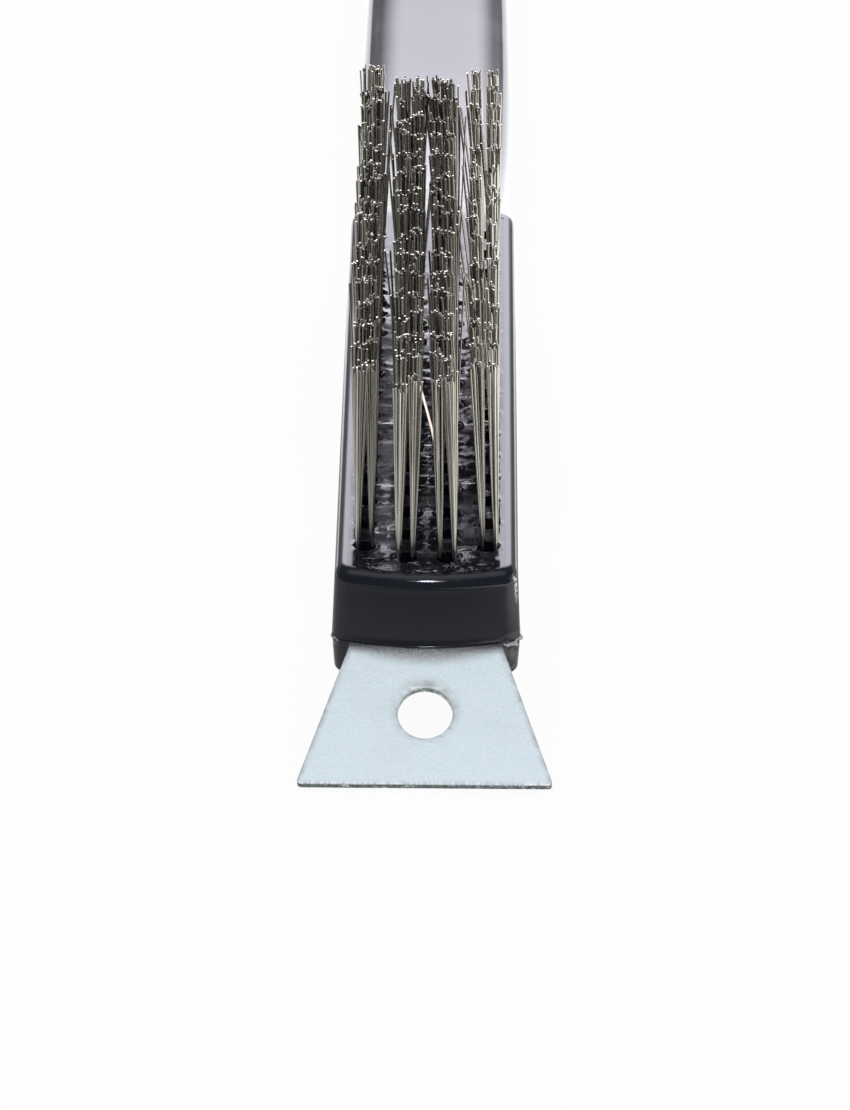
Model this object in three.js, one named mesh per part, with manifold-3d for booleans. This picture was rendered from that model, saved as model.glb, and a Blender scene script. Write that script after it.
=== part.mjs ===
// A four-row steel wire scratch brush with a moulded plastic handle and a bent scraper blade at its toe.
// Millimetres. The origin is the centre of the brush block's flat back, +Z points out through the bristles,
// +Y runs from the toe towards the end of the handle, and X is across the brush.
import * as THREE from "three";
import { ParametricGeometry } from "three/addons/geometries/ParametricGeometry.js";
import { mergeVertices } from "three/addons/utils/BufferGeometryUtils.js";
import Module from "manifold-3d";

// Driving dimensions of the block, the part of the handle that carries the bristles.
const BLOCK_LENGTH = 144;
const BLOCK_WIDTH = 30;
const BLOCK_THICKNESS = 18;
const BLOCK_EDGE_ROUND = 1.5;
const TOE_BULGE = 1.7;
const TOE_CORNER_RADIUS = 3.2;
const SHOULDER_RADIUS = 4;
const TOE_Y = -BLOCK_LENGTH / 2;
const SHOULDER_Y = BLOCK_LENGTH / 2;

// The grip behind the block.
const GRIP_LENGTH = 190;
const GRIP_ROOT_OVERLAP = 18;
const GRIP_SQUARENESS = 2.6;
const GRIP_END_ROUND = 15;
const HANG_HOLE_RADIUS = 4;
const HANG_HOLE_FROM_END = 14;
const HANG_PAD_RADIUS = 7;
const HANG_PAD_DEPTH = 0.8;

// The bristle field: four columns of tufts, the outer two set back by half a pitch.
const COLUMNS = 4;
const ROWS = 16;
const COLUMN_PITCH = 6.6;
const ROW_PITCH = 8.06;
const FIRST_TUFT_FROM_TOE = 8.4;
const TRIM = 31.8;
const HOLE_RADIUS = 2.25;
const HOLE_DEPTH = 9.5;

// One tuft: a bundle of wires folded round a flat anchor, so that it has two legs.
const TUFT_THICKNESS = 1.9;
const TUFT_EDGE = 0.4;
const FOLD_FROM_HOLE_BOTTOM = 0.3;
const FOLD_THICKNESS = 1.2;
const LEG_INNER_IN_HOLE = 0.42;
const LEG_OUTER_IN_HOLE = 1.8;
const LEG_INNER_AT_TIP = 0.7;
const LEG_OUTER_AT_TIP = 2.35;

// Single wires that stray from one tuft to the next.
const STRAY_WIRE_RADIUS = 0.24;
const STRAY_WIRE_OFFSET = 1.15;
const STRAY_WIRE_START = 5;
const STRAY_WIRE_END = 27;

// Flat anchors that pin the tufts, one across the bottom of each hole.
const ANCHOR_LENGTH = 6.2;
const ANCHOR_THICKNESS = 0.6;
const ANCHOR_HEIGHT = 2;
const ANCHOR_ABOVE_HOLE_BOTTOM = 1.75;
const ANCHOR_WEB = 0.5;
const ANCHOR_CLEARANCE = 0.1;

// The scraper: steel plate, its tang moulded into the toe and its blade bent away from the bristles.
const PLATE = 1.6;
const SCRAPER_MID_HEIGHT = 5.5;
const TANG_LENGTH = 16;
const TANG_WIDTH = 21;
const TANG_HOLE_RADIUS = 2;
const TANG_HOLE_SPACING = 11;
const NECK_WIDTH = 23.9;
const BLADE_LENGTH = 24.6;
const BLADE_WIDTH = 40.5;
const BLADE_TILT = THREE.MathUtils.degToRad(37.5);
const BEND_RADIUS = 3;
const BEND_START_FROM_TOE = 1.4;
const BLADE_HOLE_RADIUS = 4.35;
const BLADE_HOLE_FROM_BEND = 12.2;
const SCRAPER_CLEARANCE = 0.25;

const wasm = await Module();
wasm.setup();

// Turns a closed three.js geometry into a solid: seam vertices are merged and collapsed triangles dropped.
function solid(geometry) {
  const bare = geometry.clone();
  bare.deleteAttribute("normal");
  bare.deleteAttribute("uv");
  const merged = mergeVertices(bare, 1e-4);
  const corners = merged.index.array;
  const kept = [];
  for (let i = 0; i < corners.length; i += 3) {
    const [a, b, c] = corners.slice(i, i + 3);
    if (a !== b && b !== c && c !== a) kept.push(a, b, c);
  }
  return new wasm.Manifold(
    new wasm.Mesh({
      numProp: 3,
      vertProperties: merged.attributes.position.array,
      triVerts: new Uint32Array(kept),
    }),
  );
}

// Turns a solid back into a three.js geometry.
function geometryOf(body) {
  const mesh = body.getMesh();
  const geometry = new THREE.BufferGeometry();
  geometry.setAttribute("position", new THREE.BufferAttribute(mesh.vertProperties, 3));
  geometry.setIndex(new THREE.BufferAttribute(mesh.triVerts, 1));
  return geometry;
}

function namedMesh(name, body, material) {
  const geometry = geometryOf(body).toNonIndexed();
  geometry.computeVertexNormals();
  const mesh = new THREE.Mesh(geometry, material);
  mesh.name = name;
  return mesh;
}

function box(width, length, height, x, y, z) {
  return solid(new THREE.BoxGeometry(width, length, height).translate(x, y, z));
}

// An upright cylinder standing on z = bottom.
function post(radius, height, sides, x, y, bottom) {
  const geometry = new THREE.CylinderGeometry(radius, radius, height, sides);
  return solid(geometry.rotateX(Math.PI / 2).translate(x, y, bottom + height / 2));
}

// A straight bar between two points.
function bar(from, to, radius, sides) {
  const along = to.clone().sub(from);
  const geometry = new THREE.CylinderGeometry(radius, radius, along.length(), sides);
  const up = new THREE.Vector3(0, 1, 0);
  geometry.applyQuaternion(new THREE.Quaternion().setFromUnitVectors(up, along.clone().normalize()));
  const middle = from.clone().add(to).multiplyScalar(0.5);
  return solid(geometry.translate(middle.x, middle.y, middle.z));
}

// Extrudes an outline drawn in the Y-Z plane by a width centred on x.
function extrudeAcross(shape, width, x = 0, curveSegments = 6) {
  const geometry = new THREE.ExtrudeGeometry(shape, { depth: width, bevelEnabled: false, curveSegments });
  const turn = new THREE.Matrix4().makeBasis(
    new THREE.Vector3(0, 1, 0),
    new THREE.Vector3(0, 0, 1),
    new THREE.Vector3(1, 0, 0),
  );
  return solid(geometry.applyMatrix4(turn).translate(x - width / 2, 0, 0));
}

// ---- Handle -------------------------------------------------------------------------------------------

// The block's outline from above: a slightly bowed toe, rounded corners and softer shoulders.
function blockOutline() {
  const half = BLOCK_WIDTH / 2;
  const toeInner = half - TOE_CORNER_RADIUS;
  const toeCentreY = TOE_Y + TOE_BULGE + TOE_CORNER_RADIUS;
  const backInner = half - SHOULDER_RADIUS;
  const backCentreY = SHOULDER_Y - SHOULDER_RADIUS;
  const shape = new THREE.Shape();
  shape.absarc(backInner, backCentreY, SHOULDER_RADIUS, 0, Math.PI / 2);
  shape.absarc(-backInner, backCentreY, SHOULDER_RADIUS, Math.PI / 2, Math.PI);
  shape.absarc(-toeInner, toeCentreY, TOE_CORNER_RADIUS, Math.PI, 1.5 * Math.PI);
  shape.quadraticCurveTo(0, TOE_Y - TOE_BULGE, toeInner, TOE_Y + TOE_BULGE);
  shape.absarc(toeInner, toeCentreY, TOE_CORNER_RADIUS, 1.5 * Math.PI, 2 * Math.PI);
  return shape;
}

function block() {
  const geometry = new THREE.ExtrudeGeometry(blockOutline(), {
    depth: BLOCK_THICKNESS - 2 * BLOCK_EDGE_ROUND,
    bevelThickness: BLOCK_EDGE_ROUND,
    bevelSize: BLOCK_EDGE_ROUND,
    bevelOffset: -BLOCK_EDGE_ROUND,
    bevelSegments: 2,
    curveSegments: 3,
  });
  return solid(geometry.translate(0, 0, BLOCK_EDGE_ROUND));
}

// The grip's side view and plan, as smooth curves through points at distances behind the shoulder.
// Each point is (distance, value): top and bottom are heights above the block's back.
function smooth(points) {
  return new THREE.SplineCurve(points.map(([x, y]) => new THREE.Vector2(x, y)));
}

const GRIP_TOP = smooth([
  [-18, 16.2],
  [2, 16],
  [12, 14.6],
  [24, 11],
  [45, 7.6],
  [80, 5.6],
  [120, 5.6],
  [160, 6.6],
  [190, 7.2],
]);
const GRIP_BOTTOM = smooth([
  [-18, 1],
  [2, 0.6],
  [20, -2.2],
  [45, -6.6],
  [80, -9.4],
  [120, -9.4],
  [160, -8],
  [190, -6.8],
]);
const GRIP_HALF_WIDTH = smooth([
  [-18, 13.4],
  [2, 13.4],
  [20, 13.5],
  [45, 13.8],
  [80, 14.4],
  [120, 14.4],
  [160, 13.8],
  [190, 12.7],
]);

// Reads a curve at a distance behind the shoulder, by bisection along the curve.
function valueAt(curve, distance) {
  let low = 0;
  let high = 1;
  for (let i = 0; i < 30; i += 1) {
    const middle = (low + high) / 2;
    if (curve.getPoint(middle).x < distance) low = middle;
    else high = middle;
  }
  return curve.getPoint(low).y;
}

// How much of the full section is left near the rounded end of the grip, from 1 down to 0.
function endTaper(distance) {
  const past = (distance - (GRIP_LENGTH - GRIP_END_ROUND)) / GRIP_END_ROUND;
  return past <= 0 ? 1 : Math.sqrt(Math.max(0, 1 - past * past));
}

function superCurve(angle, power) {
  const c = Math.cos(angle);
  const s = Math.sin(angle);
  return [Math.sign(c) * Math.abs(c) ** (2 / power), Math.sign(s) * Math.abs(s) ** (2 / power)];
}

// The grip is a stack of rounded sections from inside the block to the rounded end.
function grip() {
  const around = 18;
  const along = 22;
  const start = -GRIP_ROOT_OVERLAP;
  const surface = (u, v, target) => {
    const stations = along - 2;
    const step = v * along;
    // The first and last steps close the two ends onto their middles.
    const inner = THREE.MathUtils.clamp(step - 1, 0, stations) / stations;
    const distance = start + (GRIP_LENGTH - start) * Math.sin((inner * Math.PI) / 2);
    const open = step < 0.5 || step > along - 0.5 ? 0 : Math.max(endTaper(distance), 0.12);
    const top = valueAt(GRIP_TOP, distance);
    const bottom = valueAt(GRIP_BOTTOM, distance);
    const [x, z] = superCurve(-2 * Math.PI * u, GRIP_SQUARENESS);
    const thin = 0.45 + 0.55 * open;
    const height = open === 0 ? 0 : ((top - bottom) / 2) * thin;
    target.set(
      x * valueAt(GRIP_HALF_WIDTH, distance) * open,
      SHOULDER_Y + distance,
      (top + bottom) / 2 + z * height,
    );
  };
  return solid(new ParametricGeometry(surface, around, along));
}

function hangHole() {
  const y = SHOULDER_Y + GRIP_LENGTH - HANG_HOLE_FROM_END;
  const distance = GRIP_LENGTH - HANG_HOLE_FROM_END;
  const top = valueAt(GRIP_TOP, distance);
  const bottom = valueAt(GRIP_BOTTOM, distance);
  const through = post(HANG_HOLE_RADIUS, 60, 20, 0, y, -30);
  const topPad = post(HANG_PAD_RADIUS, 10, 24, 0, y, top - HANG_PAD_DEPTH);
  const bottomPad = post(HANG_PAD_RADIUS, 10, 24, 0, y, bottom + HANG_PAD_DEPTH - 10);
  return through.add(topPad).add(bottomPad);
}

// ---- Tuft positions -----------------------------------------------------------------------------------

function columnX(column) {
  return (column - (COLUMNS - 1) / 2) * COLUMN_PITCH;
}

function tuftY(column, row) {
  const outer = column === 0 || column === COLUMNS - 1;
  const setBack = outer ? ROW_PITCH / 2 : 0;
  return TOE_Y + FIRST_TUFT_FROM_TOE + row * ROW_PITCH + setBack;
}

function everyTuft(visit) {
  for (let column = 0; column < COLUMNS; column += 1) {
    for (let row = 0; row < ROWS; row += 1) visit(columnX(column), tuftY(column, row));
  }
}

// ---- Anchors ------------------------------------------------------------------------------------------

const ANCHOR_BOTTOM = BLOCK_THICKNESS - HOLE_DEPTH + ANCHOR_ABOVE_HOLE_BOTTOM;

// The anchors of one column seen from the side, with a thin web from each to the next.
function anchorColumn(column) {
  const bottom = ANCHOR_BOTTOM;
  const top = bottom + ANCHOR_HEIGHT;
  const webTop = bottom + ANCHOR_WEB;
  const shape = new THREE.Shape();
  shape.moveTo(tuftY(column, 0) - ANCHOR_LENGTH / 2, bottom);
  shape.lineTo(tuftY(column, ROWS - 1) + ANCHOR_LENGTH / 2, bottom);
  for (let row = ROWS - 1; row >= 0; row -= 1) {
    const y = tuftY(column, row);
    if (row < ROWS - 1) shape.lineTo(y + ANCHOR_LENGTH / 2, webTop);
    shape.lineTo(y + ANCHOR_LENGTH / 2, top);
    shape.lineTo(y - ANCHOR_LENGTH / 2, top);
    if (row > 0) shape.lineTo(y - ANCHOR_LENGTH / 2, webTop);
  }
  return extrudeAcross(shape, ANCHOR_THICKNESS, columnX(column));
}

// The slot that the anchors of one column cut into the plastic as they are driven in.
function anchorSlot(column) {
  const first = tuftY(column, 0);
  const last = tuftY(column, ROWS - 1);
  const length = last - first + ANCHOR_LENGTH + 2 * ANCHOR_CLEARANCE;
  const width = ANCHOR_THICKNESS + 2 * ANCHOR_CLEARANCE;
  const height = ANCHOR_HEIGHT + 2 * ANCHOR_CLEARANCE;
  return box(width, length, height, columnX(column), (first + last) / 2, ANCHOR_BOTTOM + ANCHOR_HEIGHT / 2);
}

// ---- Scraper ------------------------------------------------------------------------------------------

// Where the plate's middle line starts to bend, just inside the toe.
const BEND_START_Y = TOE_Y + BEND_START_FROM_TOE;

// A point on the plate's middle line, at a distance outwards from the start of the bend, and its direction.
function plateLine(distance) {
  const bendLength = BEND_RADIUS * BLADE_TILT;
  const angle = THREE.MathUtils.clamp(distance / BEND_RADIUS, 0, BLADE_TILT);
  const straight = Math.max(0, distance - bendLength);
  const y = BEND_START_Y - BEND_RADIUS * Math.sin(angle) - straight * Math.cos(angle) - Math.min(0, distance);
  const z = SCRAPER_MID_HEIGHT - BEND_RADIUS * (1 - Math.cos(angle)) - straight * Math.sin(angle);
  return { y, z, angle };
}

// The side view of the bent plate: the middle line offset by half the plate thickness each way.
function plateProfile(grow) {
  const half = PLATE / 2 + grow;
  const bendLength = BEND_RADIUS * BLADE_TILT;
  const distances = [-TANG_LENGTH - grow];
  for (let i = 0; i <= 5; i += 1) distances.push((bendLength * i) / 5);
  distances.push(BLADE_LENGTH);
  const side = (sign) =>
    distances.map((distance) => {
      const { y, z, angle } = plateLine(distance);
      return new THREE.Vector2(y - sign * half * Math.sin(angle), z + sign * half * Math.cos(angle));
    });
  return new THREE.Shape([...side(-1), ...side(1).reverse()]);
}

// The plate from above: a parallel tang inside the toe, then a blade that widens to its edge.
function plateOutline(grow) {
  const edgeY = plateLine(BLADE_LENGTH).y;
  const tang = TANG_WIDTH / 2 + grow;
  const neck = NECK_WIDTH / 2 + grow;
  const edge = BLADE_WIDTH / 2;
  const neckY = TOE_Y + TOE_BULGE + 0.6;
  const tangEnd = BEND_START_Y + TANG_LENGTH + grow;
  const corner = 0.9;
  return new THREE.Shape([
    new THREE.Vector2(tang, tangEnd),
    new THREE.Vector2(-tang, tangEnd),
    new THREE.Vector2(-tang, neckY),
    new THREE.Vector2(-neck, neckY),
    new THREE.Vector2(-edge, edgeY + corner),
    new THREE.Vector2(-edge + corner, edgeY - 2),
    new THREE.Vector2(edge - corner, edgeY - 2),
    new THREE.Vector2(edge, edgeY + corner),
    new THREE.Vector2(neck, neckY),
    new THREE.Vector2(tang, neckY),
  ]);
}

function tangHoles(grow) {
  const y = BEND_START_Y + TANG_LENGTH * 0.6;
  const holes = [-1, 1].map((side) =>
    post(TANG_HOLE_RADIUS - grow, 12, 16, (side * TANG_HOLE_SPACING) / 2, y, SCRAPER_MID_HEIGHT - 6),
  );
  return holes[0].add(holes[1]);
}

// The plate grown by a clearance, with the plastic pegs that fill its tang holes left out of it.
function scraperPlate(grow) {
  const sideView = extrudeAcross(plateProfile(grow), BLADE_WIDTH + 10);
  const plan = new THREE.ExtrudeGeometry(plateOutline(grow), { depth: 60, bevelEnabled: false });
  return sideView.intersect(solid(plan.translate(0, 0, -40))).subtract(tangHoles(grow));
}

function bladeHole() {
  const { y, z, angle } = plateLine(BLADE_HOLE_FROM_BEND);
  const geometry = new THREE.CylinderGeometry(BLADE_HOLE_RADIUS, BLADE_HOLE_RADIUS, 6, 32);
  geometry.rotateX(Math.PI / 2 + angle);
  return solid(geometry.translate(0, y, z));
}

// ---- Bristles -----------------------------------------------------------------------------------------

// One tuft seen from the toe: two legs that rise and spread from the fold under the anchor.
function tuftOutline() {
  const fold = BLOCK_THICKNESS - HOLE_DEPTH + FOLD_FROM_HOLE_BOTTOM;
  const tip = BLOCK_THICKNESS + TRIM;
  return new THREE.Shape([
    new THREE.Vector2(-LEG_OUTER_IN_HOLE, fold),
    new THREE.Vector2(LEG_OUTER_IN_HOLE, fold),
    new THREE.Vector2(LEG_OUTER_IN_HOLE, BLOCK_THICKNESS),
    new THREE.Vector2(LEG_OUTER_AT_TIP, tip),
    new THREE.Vector2(LEG_INNER_AT_TIP, tip),
    new THREE.Vector2(LEG_INNER_IN_HOLE, fold + FOLD_THICKNESS),
    new THREE.Vector2(-LEG_INNER_IN_HOLE, fold + FOLD_THICKNESS),
    new THREE.Vector2(-LEG_INNER_AT_TIP, tip),
    new THREE.Vector2(-LEG_OUTER_AT_TIP, tip),
    new THREE.Vector2(-LEG_OUTER_IN_HOLE, BLOCK_THICKNESS),
  ]);
}

function tuft(x, y) {
  const geometry = new THREE.ExtrudeGeometry(tuftOutline(), {
    depth: TUFT_THICKNESS - 2 * TUFT_EDGE,
    bevelThickness: TUFT_EDGE,
    bevelSize: TUFT_EDGE,
    bevelOffset: -TUFT_EDGE,
    bevelSegments: 1,
  });
  geometry.rotateX(Math.PI / 2);
  return solid(geometry.translate(x, y + TUFT_THICKNESS / 2 - TUFT_EDGE, 0));
}

// A stray wire that leaves one tuft low down and rests in the next tuft near its tip.
function strayWire(column, row) {
  const direction = row % 2 === 0 ? 1 : -1;
  const low = direction === 1 ? column : column + 1;
  const high = direction === 1 ? column + 1 : column;
  const from = new THREE.Vector3(
    columnX(low) + direction * STRAY_WIRE_OFFSET,
    tuftY(low, row),
    BLOCK_THICKNESS + STRAY_WIRE_START,
  );
  const to = new THREE.Vector3(
    columnX(high) - direction * STRAY_WIRE_OFFSET,
    tuftY(high, row),
    BLOCK_THICKNESS + STRAY_WIRE_END,
  );
  return bar(from, to, STRAY_WIRE_RADIUS, 4);
}

// The four tufts across the brush at one station along it, touching through their stray wires.
function bristleRow(row) {
  let body = tuft(columnX(0), tuftY(0, row));
  for (let column = 1; column < COLUMNS; column += 1) {
    body = body.add(tuft(columnX(column), tuftY(column, row)));
    body = body.add(strayWire(column - 1, row));
  }
  return body;
}

// ---- Assembly -----------------------------------------------------------------------------------------

function handle() {
  let body = block().add(grip()).subtract(hangHole());
  everyTuft((x, y) => {
    const bottom = BLOCK_THICKNESS - HOLE_DEPTH;
    body = body.subtract(post(HOLE_RADIUS, HOLE_DEPTH + 5, 8, x, y, bottom));
  });
  for (let column = 0; column < COLUMNS; column += 1) body = body.subtract(anchorSlot(column));
  return body.subtract(scraperPlate(SCRAPER_CLEARANCE));
}

const blackPlastic = new THREE.MeshStandardMaterial({ color: 0x17181b, roughness: 0.22, metalness: 0 });
const zincSteel = new THREE.MeshStandardMaterial({ color: 0xd2dde2, roughness: 0.45, metalness: 0.9 });
const bristleSteel = new THREE.MeshStandardMaterial({ color: 0x8f8a7c, roughness: 0.35, metalness: 1 });
const anchorSteel = new THREE.MeshStandardMaterial({ color: 0xa9a9a4, roughness: 0.4, metalness: 1 });

const brush = new THREE.Group();
brush.name = "wire_brush";
brush.add(namedMesh("handle", handle(), blackPlastic));
brush.add(namedMesh("scraper_blade", scraperPlate(0).subtract(bladeHole()), zincSteel));
for (let row = 0; row < ROWS; row += 1) {
  const number = String(row + 1).padStart(2, "0");
  brush.add(namedMesh(`bristle_row_${number}`, bristleRow(row), bristleSteel));
}
for (let column = 0; column < COLUMNS; column += 1) {
  brush.add(namedMesh(`anchor_column_${column + 1}`, anchorColumn(column), anchorSteel));
}

export default brush;
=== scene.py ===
"""The looks of a four-row wire scratch brush with a steel scraper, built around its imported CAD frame."""

import math
from types import SimpleNamespace

import bmesh
import bpy
import numpy as np
from mathutils import Matrix, Vector


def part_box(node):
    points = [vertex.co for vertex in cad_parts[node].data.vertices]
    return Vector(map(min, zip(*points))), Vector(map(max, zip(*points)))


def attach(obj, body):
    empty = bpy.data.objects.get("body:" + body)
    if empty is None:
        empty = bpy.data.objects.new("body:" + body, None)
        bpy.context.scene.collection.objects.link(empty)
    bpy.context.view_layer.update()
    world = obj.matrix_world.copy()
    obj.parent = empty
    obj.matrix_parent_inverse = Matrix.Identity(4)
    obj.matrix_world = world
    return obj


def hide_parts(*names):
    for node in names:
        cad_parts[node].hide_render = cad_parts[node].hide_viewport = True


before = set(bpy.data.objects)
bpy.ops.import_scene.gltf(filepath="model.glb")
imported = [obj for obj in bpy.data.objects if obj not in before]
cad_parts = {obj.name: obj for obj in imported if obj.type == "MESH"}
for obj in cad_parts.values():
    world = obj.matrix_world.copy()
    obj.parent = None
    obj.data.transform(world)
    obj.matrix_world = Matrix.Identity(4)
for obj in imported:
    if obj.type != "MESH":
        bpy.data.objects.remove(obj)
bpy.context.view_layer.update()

MM = 0.001
rng = np.random.default_rng(4160)


def box_mm(node):
    """The low and high corners of a CAD node. Every position below comes from these, in millimetres."""
    low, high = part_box(node)
    return np.array(low) / MM, np.array(high) / MM


HANDLE_LOW, HANDLE_HIGH = box_mm("handle")
SCRAPER_LOW, SCRAPER_HIGH = box_mm("scraper_blade")
ROW_LOW, ROW_HIGH = box_mm("bristle_row_01")
LAST_ROW_LOW = box_mm("bristle_row_16")[0]

BLOCK_HALF_WIDTH = HANDLE_HIGH[0]
BLOCK_THICKNESS = HANDLE_HIGH[2]
BLOCK_LENGTH = 144.0
FIRST_TUFT_FROM_TOE = 8.4
PARTING_Z = 6.3

COLUMNS = 4
ROWS = 16
COLUMN_PITCH = 6.6
ROW_PITCH = (LAST_ROW_LOW[1] - ROW_LOW[1]) / (ROWS - 1)
CAD_TUFT_HALF_DEPTH = 0.95
FIRST_TUFT_Y = ROW_LOW[1] + CAD_TUFT_HALF_DEPTH
TOE_Y = FIRST_TUFT_Y - FIRST_TUFT_FROM_TOE
SHOULDER_Y = TOE_Y + BLOCK_LENGTH
TIP_Z = ROW_HIGH[2]
HOLE_RADIUS = 1.8
HOLE_DEPTH = 9.5


# ---- Mesh helpers ----


def new_object(name, data):
    obj = bpy.data.objects.new(name, data)
    bpy.context.scene.collection.objects.link(obj)
    return obj


def mesh_object(name, vertices, faces, smooth=True):
    """An object from vertices in millimetres."""
    mesh = bpy.data.meshes.new(name)
    mesh.from_pydata((np.asarray(vertices) * MM).tolist(), [], [list(map(int, f)) for f in faces])
    mesh.validate()
    mesh.update()
    mesh.polygons.foreach_set("use_smooth", [smooth] * len(mesh.polygons))
    return new_object(name, mesh)


def at_height(outline, z):
    return np.column_stack([outline, np.full(len(outline), z)])


def circle(x, y, radius, count):
    angles = np.linspace(0, 2 * math.pi, count, endpoint=False)
    return np.column_stack([x + radius * np.cos(angles), y + radius * np.sin(angles)])


def loft(name, *stacks):
    """An object of closed bars, each from a stack of loops that all have the same number of points."""
    vertices, faces = [], []
    base = 0
    for loops in stacks:
        levels, count = len(loops), len(loops[0])
        last = base + (levels - 1) * count
        for a in range(base, last, count):
            for i in range(count):
                j = (i + 1) % count
                faces.append((a + i, a + j, a + count + j, a + count + i))
        faces.append(tuple(range(base + count - 1, base - 1, -1)))
        faces.append(tuple(range(last, last + count)))
        vertices.append(np.concatenate(loops))
        base = last + count
    return mesh_object(name, np.concatenate(vertices), faces)


def evaluated_mesh(obj):
    return bpy.data.meshes.new_from_object(obj.evaluated_get(bpy.context.evaluated_depsgraph_get()))


def apply_modifiers(obj):
    """Replaces the object's mesh by its evaluated mesh."""
    evaluated = evaluated_mesh(obj)
    obj.modifiers.clear()
    obj.data = evaluated


def boolean(obj, other, operation):
    modifier = obj.modifiers.new("boolean", "BOOLEAN")
    modifier.operation = operation
    modifier.solver = "EXACT"
    modifier.object = other
    apply_modifiers(obj)
    bpy.data.objects.remove(other)


def shade_by_angle(obj, degrees):
    """Smooth shading with creases kept sharper than the angle."""
    mesh = obj.data
    mesh.polygons.foreach_set("use_smooth", [True] * len(mesh.polygons))
    mesh.set_sharp_from_angle(angle=math.radians(degrees))


def add_attribute(obj, name, values):
    """A number on each vertex, for the materials to read."""
    obj.data.attributes.new(name, "FLOAT", "POINT").data.foreach_set("value", values)


def value_noise(points, scale, seed):
    """Smooth random values between -1 and 1 at points of any dimension."""
    points = np.asarray(points, float) * scale
    base = np.floor(points).astype(np.int64)
    part = points - base
    part = part * part * (3 - 2 * part)
    dims = points.shape[-1]
    total = np.zeros(points.shape[:-1])
    primes = np.array([73856093, 19349663, 83492791][:dims])
    for corner in range(2**dims):
        offset = np.array([(corner >> d) & 1 for d in range(dims)])
        key = ((base + offset) * primes).sum(-1) + seed * 2654435761
        key = (key ^ (key >> 13)) * 1274126177 & 0xFFFFFFFF
        random = ((key ^ (key >> 16)) & 0xFFFF) / 32767.5 - 1
        weight = np.prod(np.where(offset == 1, part, 1 - part), axis=-1)
        total += random * weight
    return total


def fractal(points, scale, seed, octaves=3):
    """Noise with finer and weaker noise added to it."""
    total = 0
    for octave in range(octaves):
        total = total + value_noise(points, scale * 2**octave, seed + octave) / 2**octave
    return total / (2 - 2 ** (1 - octaves))


# ---- Node helpers ----


class Nodes:
    """A node tree with a few short ways to add and join nodes."""

    def __init__(self, tree):
        self.tree = tree

    def node(self, kind, inputs=(), **settings):
        """A new node; its inputs, by name or number, each get a value or a link."""
        made = self.tree.nodes.new(kind)
        for key, value in settings.items():
            setattr(made, key, value)
        for key, value in dict(inputs).items():
            self.put(made.inputs[key], value)
        return made

    def put(self, socket, value):
        if isinstance(value, bpy.types.NodeSocket):
            self.tree.links.new(value, socket)
        else:
            socket.default_value = (*value, 1) if socket.type == "RGBA" else value

    def remap(self, value, low, high, to_low=0.0, to_high=1.0, smooth=False):
        kind = "SMOOTHSTEP" if smooth else "LINEAR"
        numbers = enumerate((value, low, high, to_low, to_high))
        return self.node("ShaderNodeMapRange", numbers, interpolation_type=kind).outputs["Result"]

    def math(self, operation, a, b=0.0):
        return self.node("ShaderNodeMath", {0: a, 1: b}, operation=operation).outputs["Value"]

    def times(self, a, b):
        return self.math("MULTIPLY", a, b)

    def mix(self, factor, a, b):
        inputs = {"Factor": factor, "A": a, "B": b}
        return self.node("ShaderNodeMix", inputs, data_type="RGBA").outputs["Result"]

    def separate(self, vector):
        return self.node("ShaderNodeSeparateXYZ", {0: vector}).outputs

    def seen_or_reflected(self, kind, seen, reflected):
        """Two shaders of a kind: a colour for what the lens sees, and one for light and reflections."""
        by_lens = self.node("ShaderNodeLightPath").outputs["Is Camera Ray"]
        shaders = [self.node(kind, {"Color": colour}).outputs[0] for colour in (reflected, seen)]
        return self.node("ShaderNodeMixShader", enumerate((by_lens, *shaders))).outputs[0]


class Shader(Nodes):
    """A node material built round one Principled BSDF."""

    def __init__(self, name):
        self.material = bpy.data.materials.new(name)
        self.material.use_nodes = True
        super().__init__(self.material.node_tree)
        self.position = self.node("ShaderNodeNewGeometry").outputs["Position"]

    def noise(self, scale, detail=3.0, roughness=0.55, distortion=0.0, stretch=(1.0, 1.0, 1.0)):
        vector = self.node("ShaderNodeVectorMath", {0: self.position, 1: stretch}, operation="MULTIPLY")
        names = ("Vector", "Scale", "Detail", "Roughness", "Distortion")
        inputs = zip(names, (vector.outputs[0], scale, detail, roughness, distortion))
        return self.node("ShaderNodeTexNoise", inputs).outputs["Fac"]

    def attribute(self, name):
        return self.node("ShaderNodeAttribute", attribute_name=name).outputs["Fac"]

    def bump(self, height, strength, distance, below=None):
        inputs = {"Height": height, "Strength": strength, "Distance": distance}
        if below is not None:
            inputs["Normal"] = below
        return self.node("ShaderNodeBump", inputs).outputs["Normal"]

    def finish(self, **inputs):
        for name, value in inputs.items():
            self.put(self.tree.nodes["Principled BSDF"].inputs[name.replace("_", " ")], value)
        return self.material


# ---- Handle ----

TOE_HALF_ANGLE = math.radians(15.3)
TOE_CORNER_RADIUS = 3.2
SHOULDER_CORNER_RADIUS = 3.8
UPPER_DRAFT = 0.42
TOE_DRAFT = 1.0
LOWER_DRAFT = 0.35
TOP_EDGE_RADIUS = 1.65
TOE_EDGE_RADIUS = 2.4
REAR_EDGE_RADIUS = 0.4
BOTTOM_EDGE_RADIUS = 0.9
POCKET_INSET = 2.45
POCKET_TOE_INSET = 3.45
POCKET_REAR_INSET = 3.0
POCKET_FLOOR_Z = 7.7
POCKET_CORNER_RADII = (0.8, 1.0)
# The lip of the mould's parting line at the toe: height above the line, and how far it stands out.
PARTING_LIP = ((-0.06, 0.09), (0.06, 0.09), (0.14, 0.02))


def arc(x, y, radius, start, end, count):
    """Points on an arc; its angles run from straight down, anticlockwise."""
    return [(x + radius * math.sin(a), y - radius * math.cos(a)) for a in np.linspace(start, end, count)]


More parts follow.
